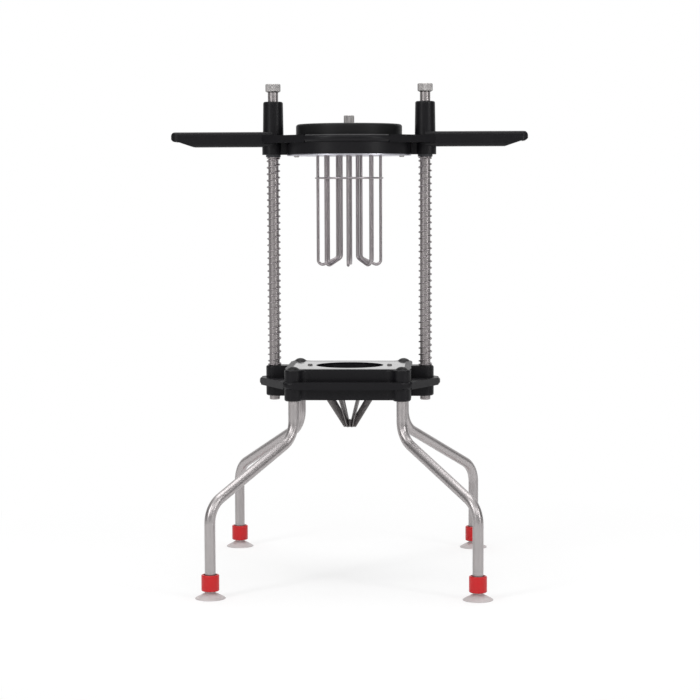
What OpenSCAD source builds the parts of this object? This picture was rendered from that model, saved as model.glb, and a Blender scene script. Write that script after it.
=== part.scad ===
// Hand press that cuts a round fruit into wedges.
// Origin on the table at the centre of the four feet; X runs along the handles, -Y is the front.

/* [Stance] */
// Height of the housing's top face above the table
deck_z = 283.5; // [265:0.5:330]
// Distance between the left and right foot axes
foot_span_x = 342; // [310:1:400]
// Distance between the front and rear foot axes
foot_span_y = 384; // [340:1:440]

/* [Legs] */
// Outer diameter of a leg tube
leg_d = 14; // [12:0.5:16]
// Wall thickness of a leg tube
leg_wall = 1.5; // [1:0.1:2.5]
// Centreline radius of a leg's bends
leg_bend_r = 34; // [24:1:40]
// Height of a leg's lower bend corner above the table
leg_lower_corner_z = 118; // [100:1:135]
// Drop from the housing's underside to a leg's upper bend corner
leg_upper_drop = 49.5; // [42:0.5:60]
// Length of the threaded insert in a leg's top end
insert_len = 18; // [12:1:24]
// Thread diameter of the screw that holds a leg
leg_screw_d = 6; // [5:0.5:7]
// Head diameter of the screw that holds a leg
leg_screw_head_d = 10; // [9:0.5:11]
// Head height of the screw that holds a leg
leg_screw_head_h = 5; // [4:0.5:5.5]

/* [Feet] */
// Outer diameter of a foot collar
collar_d = 23; // [21:0.5:26]
// Height of a foot collar
collar_h = 21; // [18:0.5:26]
// Height of a collar's lower rim above the table
collar_z = 10; // [9.5:0.5:13]
// Height of the ledge inside a collar that a leg tube stands on, above the collar's lower rim
collar_ledge_h = 6; // [5:0.5:8]
// Diameter of the open recess at a collar's top
collar_recess_d = 18; // [17:0.5:20]
// Depth of the open recess at a collar's top
collar_recess_h = 4; // [2:0.5:6]
// Radius of a collar's rounded rims
collar_edge_r = 1.5; // [1:0.25:2.5]
// Diameter of a suction cup's rim
cup_d = 39; // [34:1:46]
// Thickness of a suction cup's lip where it meets the table
cup_lip = 0.9; // [0.7:0.1:1.5]
// Diameter of the neck between a suction cup and its collar
cup_neck_d = 13; // [11:0.5:14]

/* [Housing] */
// Height of the housing
housing_h = 41; // [38:0.5:48]
// Width between the housing's left and right walls
housing_x = 168; // [160:1:176]
// Depth between the housing's front and rear walls
housing_y = 140; // [136:1:150]
// Thickness of the housing's moulded walls
housing_wall = 4.5; // [3:0.5:6]
// Distance between the left and right leg bosses
boss_span_x = 144; // [140:1:150]
// Distance between the front and rear leg bosses
boss_span_y = 140; // [136:1:148]
// Diameter of a leg boss
boss_d = 24; // [22:0.5:27]
// Distance that a leg boss stands below the housing
boss_drop = 1; // [0.5:0.1:2]
// Diameter of an ear that holds a guide rod
ear_d = 23; // [20:0.5:27]
// Thickness of the flange round the housing
flange_t = 10; // [8:0.5:12]
// Height of the flange's middle above the housing's underside
flange_mid_h = 20; // [16:0.5:24]
// Diameter of the flange round an ear
ear_flange_d = 40.6; // [36:0.1:46]
// Diameter of the flange round a leg boss
boss_flange_d = 30; // [28:0.5:34]
// Radius of the housing's rounded edges
edge_r = 2.5; // [1.5:0.25:3.5]
// Radius of the hollow sweep from the housing's front or rear wall to a leg boss
boss_sweep_r = 18; // [8:0.5:18]

/* [Blades] */
// Diameter of the fruit hole in the top plate
well_d = 91.4; // [86:0.2:93]
// Width of the top plate
top_plate_x = 150; // [140:1:156]
// Depth of the top plate
top_plate_y = 122; // [114:1:128]
// Thickness of the top plate
top_plate_t = 2; // [1.5:0.1:3]
// Distance between the screws of the top plate
plate_screw_span = 108; // [107:1:124]
// Tilt of a blade from the upright
blade_tilt = 33.3; // [28:0.1:38]
// Width of a blade's strip
blade_w = 9.5; // [8:0.5:12]
// Thickness of a blade's strip
blade_t = 1; // [0.8:0.1:1.4]
// Width of a blade's ground edge
blade_grind = 2; // [1:0.1:3]
// Drop from the housing's top face to a blade's edge at the fruit hole's rim
blade_top_drop = 10.8; // [9:0.1:13]
// Distance that the blades reach below the point where their edges would meet
blade_tip_drop = 4; // [3:0.1:6]
// Height of the ring that holds the blades
blade_ring_h = 26.5; // [24:0.5:30]
// Wall thickness of the ring that holds the blades
blade_ring_wall = 3; // [2.5:0.1:4]
// Diameter of the pin where the blades meet
blade_hub_d = 5; // [4:0.1:6]

/* [Guide rods] */
// Distance between the guide rods
rod_span = 205; // [202:1:216]
// Diameter of a guide rod
rod_d = 14; // [12:0.5:15]
// Length of a guide rod up to its stop's head
rod_len = 416.3; // [370:0.1:460]
// Distance that a guide rod stands below the housing
rod_below = 5.8; // [3:0.1:10]
// Diameter of a rod stop's head
stop_d = 20.3; // [17:0.1:24]
// Height of a rod stop's head
stop_h = 10.3; // [8:0.1:14]
// Thread diameter of a rod stop
stop_thread_d = 8; // [6:0.5:9]
// Length of a rod stop's thread
stop_thread_len = 22; // [14:1:30]
// Diameter of a rod's grub screw
grub_d = 5; // [4:0.5:6]
// Gap between a sleeve and its rod stop with the head at rest
head_lift = 13.3; // [8:0.1:30]

/* [Springs] */
// Outer diameter of a spring
spring_d = 18.5; // [18.2:0.1:19.5]
// Diameter of a spring's wire
spring_wire_d = 1.6; // [1.2:0.1:1.7]
// Number of curls in a spring
spring_curls = 34; // [28:1:40]

/* [Head] */
// Depth of the head's skirt below its flange
skirt_h = 15.5; // [13:0.5:20]
// Diameter of the head's skirt
skirt_d = 169; // [160:1:172]
// Thickness of the head's moulded walls
head_wall = 4.5; // [3:0.5:6]
// Thickness of the head's flange
head_flange_t = 10; // [8:0.5:12]
// Diameter of the middle of the head's flange
head_flange_d = 175; // [173:1:182]
// Diameter of the head's flange round a guide rod
head_ear_d = 42.6; // [38:0.1:48]
// Diameter of the head's boss under its flange round a guide rod
head_boss_d = 30; // [26:0.5:34]
// Height of a sleeve above the head's flange
sleeve_h = 45.7; // [38:0.1:48]
// Diameter of a sleeve at its foot
sleeve_foot_d = 28; // [26:0.1:32]
// Diameter of a sleeve at its top
sleeve_top_d = 26.7; // [25:0.1:28]

/* [Handles] */
// Distance between the tips of the two handles
handle_span = 481; // [400:1:560]
// Thickness of a handle
handle_t = 20; // [16:0.5:24]
// Width of a handle
handle_w = 31; // [26:0.5:36]
// Length of the slope under a handle's tip
tip_slope_x = 31; // [20:0.5:45]
// Height of the slope under a handle's tip
tip_slope_z = 10.4; // [8:0.1:12]
// Radius of the round at the top of a handle's tip
tip_round_r = 6.5; // [4:0.5:7]
// Radius of a handle's long edges
handle_edge_r = 4; // [2:0.5:6]

/* [Top cap] */
// Diameter of the top cap
cap_d = 143; // [130:1:150]
// Height of the top cap
cap_h = 15; // [12:0.5:20]
// Thickness of the top cap's moulded walls
cap_wall = 4; // [3:0.5:5]
// Radius of the top cap's upper edge
cap_edge_r = 3.5; // [2:0.5:4]
// Diameter of the clamp knob
knob_d = 14; // [12.5:0.1:18]
// Height of the clamp knob
knob_h = 10.5; // [9:0.1:16]
// Diameter of the stud that the clamp knob turns on
stud_d = 8; // [6:0.5:8.5]
// Thickness of the washer under the clamp knob
washer_t = 1.5; // [1:0.1:2]
// Diameter of the washer under the clamp knob
washer_d = 18; // [16:0.5:24]

/* [Pusher] */
// Diameter of the pusher plate under the head
pusher_d = 167.6; // [158:0.2:170]
// Thickness of the pusher plate
pusher_t = 1.5; // [1:0.1:2.5]
// Distance between the screws of the pusher plate
pusher_screw_span = 142; // [138:1:148]
// Wire diameter of a finger
finger_wire_d = 4; // [3.4:0.1:4.2]
// Distance from the axis to a finger's outer leg
finger_outer_r = 42.4; // [41:0.1:42.5]
// Distance from the axis to a finger's inner leg
finger_inner_r = 16; // [14:0.1:18]
// Length of a finger's outer leg, from the pusher plate to its bend corner
finger_len = 150; // [140:1:160]
// Height from a finger's outer bend corner up to its inner bend corner
finger_rise = 12.5; // [9:0.1:15]
// Centreline radius of a finger's bends
finger_bend_r = 6; // [4.5:0.1:6.5]
// Drop from the pusher plate to the ring round the fingers
finger_ring_drop = 30; // [15:1:60]
// Wire diameter of the ring round the fingers
finger_ring_wire_d = 2.2; // [1.8:0.1:2.6]

/* [Bushings] */
// Wall thickness of a bushing
bushing_wall = 2; // [1.5:0.1:2.5]
// Length of a bushing inside the head
bushing_len = 16; // [12:1:20]
// Diameter of a lower bushing's flange
bushing_flange_d = 20; // [19.6:0.1:24]
// Thickness of a lower bushing's flange
bushing_flange_t = 3; // [2:0.1:4]

/* [Fits] */
// Running clearance between a guide rod and its bushings, on the radius
run_clear = 0.05; // [0.02:0.01:0.1]
// Clearance of a piece seated in its pocket, on each side
seat_clear = 0.1; // [0.05:0.05:0.2]
// Clearance of a screw's shank in a plain hole, on the radius
screw_clear = 0.25; // [0.2:0.05:0.4]
// Depth that welded wires sink into each other
weld_sink = 0.3; // [0.1:0.05:0.5]

/* [Hidden] */
$fn = 48;
cut = 1; // length by which a cutting shape runs past the face that it cuts
seam_h = 0.2; // length of the collar over a seam in a bent bar
seam_grow = 0.01; // how far the collar over a seam stands out of its bar
sections = 8; // wedges that the fruit is cut into
blade_turn = 180 / sections; // the blades stand midway between the fingers
rib_t = 3; // thickness of the ribs inside the two mouldings

SIDES = [["left", -1], ["right", 1]];
CORNERS = [["front_left", -1, -1], ["front_right", 1, -1], ["rear_left", -1, 1], ["rear_right", 1, 1]];

// Housing and legs
housing_z = deck_z - housing_h;
flange_z = housing_z + flange_mid_h - flange_t / 2;
boss_x = boss_span_x / 2;
boss_y = boss_span_y / 2;
foot_x = foot_span_x / 2;
foot_y = foot_span_y / 2;
leg_reach = norm([foot_x - boss_x, foot_y - boss_y]);
leg_azimuth = atan2(foot_y - boss_y, foot_x - boss_x);
leg_bore_d = leg_d - 2 * leg_wall;
screw_pocket_d = leg_screw_head_d + 2;
leg_cap_seat_h = 3;
screw_pocket_h = leg_screw_head_h + leg_cap_seat_h + 1;
boss_floor = 4;
leg_top_z = deck_z - screw_pocket_h - boss_floor;
leg_foot_z = collar_z + collar_ledge_h;
leg_cap_d = screw_pocket_d + 5;
leg_cap_h = 3.8;
cup_stud_gap = 2.1; // room above the stud of a suction cup inside its collar
cup_stud_bevel = 0.6;
corner_r = 8;
rim_share = 0.4; // radius of a flange's rounded rim, as a share of its thickness

// Blades
well_r = well_d / 2;
ring_step = 0.4; // how far the blade ring's bore stands back from the fruit hole
ledge_step = 0.6; // how far the ledge under the blade ring stands back from the ring's bore
ring_inner_r = well_r + ring_step;
ring_outer_r = ring_inner_r + blade_ring_wall;
blade_ring_top_z = deck_z - top_plate_t;
blade_ring_z = blade_ring_top_z - blade_ring_h;
blade_outer_x = ring_inner_r + blade_ring_wall / 2;
blade_apex_z = deck_z - blade_top_drop - well_r / tan(blade_tilt);
blade_tip_z = blade_apex_z - blade_tip_drop;
blade_hub_r = blade_hub_d / 2;
housing_bore_r = ring_outer_r + seat_clear;
ledge_r = ring_inner_r + ledge_step;
plate_screw_x = plate_screw_span / 2;
plate_screw_d = 4;
plate_screw_head_d = 7.5;
plate_screw_head_h = 1.6;
plate_screw_len = 10;
plate_column_d = 12; // column under a screw of the top plate

// Rods and bushings
rod_x = rod_span / 2;
rod_r = rod_d / 2;
rod_z = housing_z - rod_below;
rod_top_z = rod_z + rod_len;
ear_bore_r = rod_r + seat_clear / 2;
bushing_r = rod_r + bushing_wall;
bushing_bore_r = rod_r + run_clear;
head_bore_r = bushing_r + seat_clear / 2;
grub_z = (flange_z + flange_t + deck_z) / 2;
grub_inset = 0.5; // how far a grub screw's end lies inside its ear

// Head stack, from the rod stops down
sleeve_top_z = rod_top_z - head_lift;
head_top_z = sleeve_top_z - sleeve_h;
head_flange_z = head_top_z - head_flange_t;
head_mid_z = head_flange_z + head_flange_t / 2;
head_z = head_flange_z - skirt_h;
cap_top_z = head_top_z + cap_h;
knob_z = cap_top_z + washer_t;
stud_bore_r = stud_d / 2 + screw_clear;
knob_crown = 4; // solid end of the clamp knob above its thread
stud_grip = knob_h - knob_crown;
sleeve_edge_r = 2.5;
bushing_inset = 0.5; // how far an upper bushing's end lies inside its sleeve

// Springs
spring_len = head_z - bushing_flange_t - deck_z;
spring_r = (spring_d - spring_wire_d) / 2;
spring_bend_r = spring_wire_d;
spring_sides = 6;
spring_rings_per_curl = 8;
spring_bend_rings = 3;
spring_end_gap = 0.02;
spring_pitch = (spring_len - 2 * (spring_wire_d + spring_bend_r + spring_end_gap)) / spring_curls;
spring_slope = atan(spring_pitch / (360 * spring_r * PI / 180));

// Pusher
pusher_z = head_z - pusher_t;
finger_stand = 3; // length of a finger's ends above the pusher plate
finger_top_z = head_z + finger_stand;
finger_corner_z = pusher_z - finger_len;
finger_ring_r = finger_outer_r + finger_wire_d / 2 + finger_ring_wire_d / 2 - weld_sink;
pusher_screw_x = pusher_screw_span / 2;
pusher_screw_d = 4;
pusher_screw_head_d = 8;
pusher_screw_head_h = 2;
pusher_screw_len = 10;
pusher_column_d = 11; // column above a screw of the pusher plate
screw_drive = 2.5; // hexagon drive of the small screws, across its flats

// ---------- shared shapes ----------

// Round of radius r at the outer corner of a turned profile
module profile_round(radius, z, r) {
    translate([radius - r, z]) circle(r);
}

// Disc with its top and bottom edges rounded to radius r
module soft_disc(d, h, r) {
    rotate_extrude() intersection() {
        square([d / 2, h]);
        union() {
            square([d / 2 - r, h]);
            if (h > 2 * r) translate([0, r]) square([d / 2, h - 2 * r]);
            profile_round(d / 2, r, r);
            profile_round(d / 2, h - r, r);
        }
    }
}

// Angle of the outward normal on the common tangent from circle a to circle b, each [x, y, radius]
function tangent_angle(a, b) =
    atan2(b[1] - a[1], b[0] - a[0]) - acos((a[2] - b[2]) / norm([b[0] - a[0], b[1] - a[1]]));

// Point of a circle where its outward normal has the given angle, moved in by inset
function rim_point(c, angle, inset) =
    [c[0] + (c[2] - inset) * cos(angle), c[1] + (c[2] - inset) * sin(angle)];

// Corners of the outline that wraps round the circles, which are listed anticlockwise
function wrap_points(circles, inset) = [
    for (i = [0:len(circles) - 1])
        let (
            here = circles[i],
            before = circles[(i + len(circles) - 1) % len(circles)],
            after = circles[(i + 1) % len(circles)]
        )
        each [
            rim_point(here, tangent_angle(before, here), inset),
            rim_point(here, tangent_angle(here, after), inset)
        ]
];

// Flat outline wrapped round circles
module wrap(circles, inset = 0) {
    polygon(wrap_points(circles, inset));
    for (c = circles) translate([c[0], c[1]]) circle(c[2] - inset);
}

// Section of a plate's edge of thickness h, rounded to radius r, that runs depth into the plate
module edge_section(h, r, depth) {
    intersection() {
        translate([-depth, 0]) square([depth + r, h]);
        union() {
            translate([-depth, 0]) square([depth, h]);
            translate([-depth, r]) square([depth + r, h - 2 * r]);
            translate([0, r]) circle(r);
            translate([0, h - r]) circle(r);
        }
    }
}

// Straight rounded edge from point a to point b
module soft_edge(a, b, h, r) {
    turn = atan2(b[1] - a[1], b[0] - a[0]);
    translate([a[0], a[1], 0]) rotate([90, 0, turn + 90])
        linear_extrude(norm(b - a)) edge_section(h, r, r);
}

// True for the first of equal entries in a list
function is_first(list, i) = len([for (j = [0:1:i - 1]) if (list[j] == list[i]) j]) == 0;

// Plate wrapped round circles, with its top and bottom edges rounded to radius r, less than h / 2
module soft_plate(circles, h, r) {
    inner = wrap_points(circles, r);
    count = len(inner);
    for (i = [0:len(circles) - 1]) if (is_first(circles, i))
        translate([circles[i][0], circles[i][1], 0]) soft_disc(2 * circles[i][2], h, r);
    linear_extrude(h) polygon(inner);
    for (i = [1:2:count - 1]) soft_edge(inner[i], inner[(i + 1) % count], h, r);
}

// Four circles of radius r inside the corners of a rectangle, anticlockwise
function corner_circles(x, y, r) = [
    [x / 2 - r, y / 2 - r, r],
    [r - x / 2, y / 2 - r, r],
    [r - x / 2, r - y / 2, r],
    [x / 2 - r, r - y / 2, r]
];

function unit(v) = v / norm(v);
function turn_of(u, w) = acos(u[0] * w[0] + u[1] * w[1]);
function side_of(u, w) = u[0] * w[1] - u[1] * w[0] > 0 ? 1 : -1;

// Thin collar, a hair wider than the bar at its middle, that closes the seam between a straight and a bend
module seam(d) {
    rotate_extrude() polygon([
        [0, -seam_h / 2],
        [d / 2 - seam_grow, -seam_h / 2],
        [d / 2 + seam_grow, 0],
        [d / 2 - seam_grow, seam_h / 2],
        [0, seam_h / 2]
    ]);
}

// Round bar bent in the XZ plane along corners p, each [x, z], with centreline radius bend_r
module bent_bar(p, bend_r, d) {
    last = len(p) - 1;
    dirs = [for (i = [0:last - 1]) unit(p[i + 1] - p[i])];
    turns = [for (i = [1:last - 1]) turn_of(dirs[i - 1], dirs[i])];
    setbacks = concat([0], [for (t = turns) bend_r * tan(t / 2)], [0]);
    for (i = [0:last - 1]) {
        start = p[i] + dirs[i] * setbacks[i];
        run = norm(p[i + 1] - p[i]) - setbacks[i] - setbacks[i + 1];
        translate([start[0], 0, start[1]]) rotate([0, atan2(dirs[i][0], dirs[i][1]), 0]) {
            cylinder(d = d, h = run);
            if (i > 0) seam(d);
            if (i < last - 1) translate([0, 0, run]) seam(d);
        }
    }
    for (i = [1:last - 1]) {
        u = dirs[i - 1];
        side = side_of(u, dirs[i]);
        start = p[i] - u * setbacks[i];
        centre = start + bend_r * side * [-u[1], u[0]];
        from = atan2(-side * u[0], side * u[1]);
        translate([centre[0], 0, centre[1]])
            rotate([90, 0, 0])
            rotate([0, 0, side > 0 ? from : from - turns[i - 1]])
            rotate_extrude(angle = turns[i - 1]) translate([bend_r, 0]) circle(d = d);
    }
}

// Closed tube through rings of points, each ring with as many points as sides
module tube_through(rings, sides) {
    last = len(rings) - 1;
    walls = [
        for (i = [0:last - 1]) for (j = [0:sides - 1])
            let (a = i * sides + j, b = i * sides + (j + 1) % sides)
            each [[a, b, a + sides], [b, b + sides, a + sides]]
    ];
    foot = [for (j = [1:sides - 2]) [0, j + 1, j]];
    top = [for (j = [1:sides - 2]) [last * sides, last * sides + j, last * sides + j + 1]];
    polyhedron(points = [for (r = rings) each r], faces = concat(walls, foot, top));
}

// Copies its child to every corner, mirrored from the front right one
module at_corner(c, x, y) {
    mirror([c[1] < 0 ? 1 : 0, 0, 0]) mirror([0, c[2] > 0 ? 1 : 0, 0]) translate([x, -y, 0]) children();
}

// Knurled round head with a chamfer at both ends
module knurled_head(d, h) {
    ridges = floor(d * 2);
    depth = 0.35;
    chamfer = 0.8;
    intersection() {
        linear_extrude(h) polygon([
            for (i = [0:2 * ridges - 1])
                let (r = d / 2 - (i % 2) * depth, a = 180 * i / ridges)
                [r * cos(a), r * sin(a)]
        ]);
        rotate_extrude() polygon([
            [0, 0],
            [d / 2 - chamfer, 0],
            [d / 2 + chamfer, 2 * chamfer],
            [d / 2 + chamfer, h - 2 * chamfer],
            [d / 2 - chamfer, h],
            [0, h]
        ]);
    }
}

// Upright hexagonal recess, measured across its flats
module hex_recess(flats, h) {
    cylinder(d = flats / cos(30), h = h, $fn = 6);
}

// ---------- housing ----------

function ear_circle(side, d) = [side * rod_x, 0, d / 2];

function flange_circles() = [
    ear_circle(1, ear_flange_d),
    [boss_x, boss_y, boss_flange_d / 2],
    [-boss_x, boss_y, boss_flange_d / 2],
    ear_circle(-1, ear_flange_d),
    [-boss_x, -boss_y, boss_flange_d / 2],
    [boss_x, -boss_y, boss_flange_d / 2]
];

function ear_link() = [ear_circle(1, ear_d), ear_circle(-1, ear_d)];

// Hollow sweep between the wall and a leg boss at the origin, with the housing's rounded edges
module boss_sweep() {
    wall_y = boss_y - housing_y / 2;
    inside_y = edge_r + max(wall_y, 0);
    sweep_y = wall_y - boss_sweep_r;
    reach = sqrt(pow(boss_d / 2 + boss_sweep_r, 2) - sweep_y * sweep_y);
    intersection() {
        linear_extrude(housing_h) polygon([
            [0, 0],
            [0, inside_y],
            [-reach, inside_y],
            [-reach, sweep_y]
        ]);
        translate([-reach, sweep_y, 0]) rotate_extrude()
            translate([boss_sweep_r + edge_r, 0]) mirror([1, 0]) edge_section(housing_h, edge_r, reach);
    }
}

module housing_body() {
    translate([0, 0, housing_z])
        soft_plate(corner_circles(housing_x, housing_y, corner_r), housing_h, edge_r);
    translate([0, 0, housing_z]) soft_plate(ear_link(), housing_h, edge_r);
    translate([0, 0, flange_z]) soft_plate(flange_circles(), flange_t, flange_t * rim_share);
    for (c = CORNERS) at_corner(c, boss_x, boss_y) {
        translate([0, 0, housing_z - boss_drop]) soft_disc(boss_d, housing_h + boss_drop, edge_r);
        translate([0, 0, housing_z]) boss_sweep();
    }
}

// Hollow under the deck, with the walls, ribs and columns left standing in it
module housing_pockets() {
    tall = housing_h + 2 * cut;
    difference() {
        translate([0, 0, housing_z - cut]) linear_extrude(housing_h + cut - top_plate_t - housing_wall)
            wrap(corner_circles(housing_x, housing_y, corner_r), housing_wall);
        translate([0, 0, housing_z - 2 * cut]) cylinder(r = housing_bore_r + housing_wall, h = tall);
        for (c = CORNERS) at_corner(c, boss_x, boss_y)
            translate([0, 0, housing_z - 2 * cut]) cylinder(d = boss_d, h = tall);
        for (s = SIDES) translate([s[1] * plate_screw_x, 0, housing_z - 2 * cut])
            cylinder(d = plate_column_d, h = tall);
        for (turn = [0, 90, leg_azimuth, -leg_azimuth])
            rotate([0, 0, turn]) translate([-housing_x, -rib_t / 2, housing_z - 2 * cut])
                cube([2 * housing_x, rib_t, tall]);
    }
}

module plate_outline(grow) {
    difference() {
        wrap(corner_circles(top_plate_x, top_plate_y, corner_r), -grow);
        for (x = [-boss_x, boss_x]) for (y = [-boss_y, boss_y])
            translate([x, y]) circle(d = boss_d + 2 - 2 * grow);
    }
}

module base_housing() {
    color([0.07, 0.07, 0.08]) difference() {
        housing_body();
        housing_pockets();
        translate([0, 0, housing_z - cut]) cylinder(r = ledge_r, h = housing_h + 2 * cut);
        translate([0, 0, blade_ring_z - seat_clear / 2]) cylinder(r = housing_bore_r, h = housing_h);
        translate([0, 0, deck_z - top_plate_t - seat_clear / 2])
            linear_extrude(top_plate_t + cut) plate_outline(seat_clear);
        for (s = SIDES) {
            translate([s[1] * rod_x, 0, housing_z - cut]) cylinder(r = ear_bore_r, h = housing_h + 2 * cut);
            translate([s[1] * rod_x, 0, grub_z]) rotate([-90, 0, 0]) cylinder(d = grub_d, h = ear_d);
            translate([s[1] * plate_screw_x, 0, deck_z - top_plate_t - plate_screw_len])
                cylinder(d = plate_screw_d + seat_clear, h = plate_screw_len + cut);
        }
        for (c = CORNERS) at_corner(c, boss_x, boss_y) {
            translate([0, 0, housing_z - boss_drop - cut])
                cylinder(d = leg_d + 2 * seat_clear, h = leg_top_z - housing_z + boss_drop + cut);
            translate([0, 0, leg_top_z - cut]) cylinder(d = leg_screw_d + 2 * screw_clear, h = housing_h);
            translate([0, 0, deck_z - screw_pocket_h]) cylinder(d = screw_pocket_d, h = housing_h);
        }
    }
}

module rod_grub_screws() {
    color([0.25, 0.25, 0.27]) for (s = SIDES)
        translate([s[1] * rod_x, rod_r, grub_z]) rotate([-90, 0, 0]) difference() {
            cylinder(d = grub_d - seat_clear, h = ear_d / 2 - rod_r - grub_inset);
            translate([0, 0, 1]) hex_recess(grub_d / 2, ear_d);
        }
}

// ---------- blades ----------

module blade_plate() {
    color([0.8, 0.8, 0.83]) difference() {
        translate([0, 0, deck_z - top_plate_t]) linear_extrude(top_plate_t) plate_outline(0);
        translate([0, 0, deck_z - top_plate_t - cut]) cylinder(r = well_r, h = top_plate_t + 2 * cut);
        for (s = SIDES) translate([s[1] * plate_screw_x, 0, deck_z - top_plate_t - cut])
            cylinder(d = plate_screw_d + 2 * screw_clear, h = top_plate_t + 2 * cut);
    }
}

module plate_screws() {
    color([0.7, 0.7, 0.72]) for (s = SIDES)
        translate([s[1] * plate_screw_x, 0, 0]) difference() {
            union() {
                translate([0, 0, deck_z]) cylinder(d1 = plate_screw_head_d, d2 = 0.7 * plate_screw_head_d,
                    h = plate_screw_head_h);
                translate([0, 0, deck_z - plate_screw_len]) cylinder(d = plate_screw_d, h = plate_screw_len);
            }
            translate([0, 0, deck_z + plate_screw_head_h / 4]) hex_recess(screw_drive, plate_screw_head_h);
        }
}

module blade_ring() {
    slot_t = blade_t + seat_clear;
    slot_top_z = deck_z - blade_top_drop + blade_ring_wall / tan(blade_tilt);
    color([0.07, 0.07, 0.08]) difference() {
        translate([0, 0, blade_ring_z]) cylinder(r = ring_outer_r, h = blade_ring_h);
        translate([0, 0, blade_ring_z - cut]) cylinder(r = ring_inner_r, h = blade_ring_h + 2 * cut);
        for (k = [1:sections]) rotate([0, 0, blade_angle(k)])
            translate([0, -slot_t / 2, blade_ring_z - cut])
                cube([blade_outer_x + seat_clear / 2, slot_t, slot_top_z - blade_ring_z + cut]);
    }
}

function blade_angle(k) = 360 * (k - 1) / sections + blade_turn;

module blade(k) {
    half = blade_t / 2;
    color([0.78, 0.78, 0.8]) rotate([0, 0, blade_angle(k)]) intersection() {
        translate([0, 0, blade_apex_z]) rotate([0, blade_tilt, 0]) translate([0, 0, -2 * blade_w])
            linear_extrude(2 * blade_w + 2 * well_d) polygon([
                [0, 0],
                [blade_grind, -half],
                [blade_w, -half],
                [blade_w, half],
                [blade_grind, half]
            ]);
        translate([blade_hub_r, -blade_t, blade_tip_z])
            cube([blade_outer_x - blade_hub_r, 2 * blade_t, housing_h + well_d]);
    }
}

module blade_hub() {
    shoulder_z = blade_apex_z + blade_hub_r / tan(blade_tilt);
    color([0.75, 0.75, 0.78]) translate([0, 0, blade_tip_z]) {
        cylinder(d = blade_hub_d, h = shoulder_z - blade_tip_z);
        translate([0, 0, shoulder_z - blade_tip_z])
            cylinder(d1 = blade_hub_d, d2 = blade_t, h = 0.6 * blade_hub_d);
    }
}

// ---------- guide rods ----------

module guide_rod(side) {
    chamfer = 1;
    thread_h = stop_thread_len + 2;
    color([0.62, 0.61, 0.62]) translate([side * rod_x, 0, rod_z]) difference() {
        union() {
            cylinder(r1 = rod_r - chamfer, r2 = rod_r, h = chamfer);
            translate([0, 0, chamfer]) cylinder(r = rod_r, h = rod_len - 2 * chamfer);
            translate([0, 0, rod_len - chamfer]) cylinder(r1 = rod_r, r2 = rod_r - chamfer, h = chamfer);
        }
        translate([0, 0, rod_len - thread_h]) cylinder(d = stop_thread_d + seat_clear, h = thread_h + cut);
    }
}

module rod_stop(side) {
    color([0.8, 0.8, 0.8]) translate([side * rod_x, 0, rod_top_z]) {
        difference() {
            knurled_head(stop_d, stop_h);
            translate([0, 0, stop_h / 2]) hex_recess(stop_d / 2, stop_h);
        }
        translate([0, 0, -stop_thread_len]) cylinder(d = stop_thread_d, h = stop_thread_len);
    }
}

// ---------- legs and feet ----------

function leg_corners() = [
    [0, leg_top_z],
    [0, housing_z - leg_upper_drop],
    [leg_reach, leg_lower_corner_z],
    [leg_reach, leg_foot_z]
];

module leg(c) {
    color([0.68, 0.67, 0.68]) at_corner(c, boss_x, boss_y) rotate([0, 0, -leg_azimuth]) difference() {
        bent_bar(leg_corners(), leg_bend_r, leg_d);
        bent_bar(leg_corners(), leg_bend_r, leg_bore_d);
    }
}

module leg_inserts() {
    color([0.55, 0.55, 0.57]) for (c = CORNERS) at_corner(c, boss_x, boss_y)
        translate([0, 0, leg_top_z - insert_len]) difference() {
            cylinder(d = leg_bore_d - seat_clear, h = insert_len);
            translate([0, 0, -cut]) cylinder(d = leg_screw_d + seat_clear, h = insert_len + 2 * cut);
        }
}

module leg_screws() {
    shank = boss_floor + insert_len - 2;
    head_z = deck_z - screw_pocket_h;
    color([0.6, 0.6, 0.62]) for (c = CORNERS) at_corner(c, boss_x, boss_y) translate([0, 0, head_z]) {
        difference() {
            cylinder(d = leg_screw_head_d, h = leg_screw_head_h);
            translate([0, 0, leg_screw_head_h / 2]) hex_recess(leg_screw_head_d / 2, leg_screw_head_h);
        }
        translate([0, 0, -shank]) cylinder(d = leg_screw_d, h = shank);
    }
}

module leg_cap(c) {
    dome_r = (leg_cap_d * leg_cap_d / 4 + leg_cap_h * leg_cap_h) / (2 * leg_cap_h);
    color([0.06, 0.06, 0.07]) at_corner(c, boss_x, boss_y) {
        intersection() {
            translate([0, 0, deck_z]) cylinder(d = leg_cap_d, h = leg_cap_h + cut);
            translate([0, 0, deck_z + leg_cap_h - dome_r]) sphere(dome_r, $fn = 96);
        }
        translate([0, 0, deck_z - leg_cap_seat_h])
            cylinder(d = screw_pocket_d - seat_clear, h = leg_cap_seat_h);
    }
}

module foot_collar(c) {
    neck_bore_d = cup_neck_d + seat_clear;
    color([0.8, 0.1, 0.1]) at_corner(c, foot_x, foot_y) translate([0, 0, collar_z]) difference() {
        soft_disc(collar_d, collar_h, collar_edge_r);
        translate([0, 0, -cut]) cylinder(d = min(neck_bore_d, leg_d - leg_wall), h = collar_h);
        translate([0, 0, -cut]) cylinder(d = neck_bore_d, h = collar_ledge_h - 2 + cut);
        translate([0, 0, collar_ledge_h]) cylinder(d = leg_d + 2 * seat_clear, h = collar_h);
        translate([0, 0, collar_h - collar_recess_h]) cylinder(d = collar_recess_d, h = collar_h);
    }
}

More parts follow.
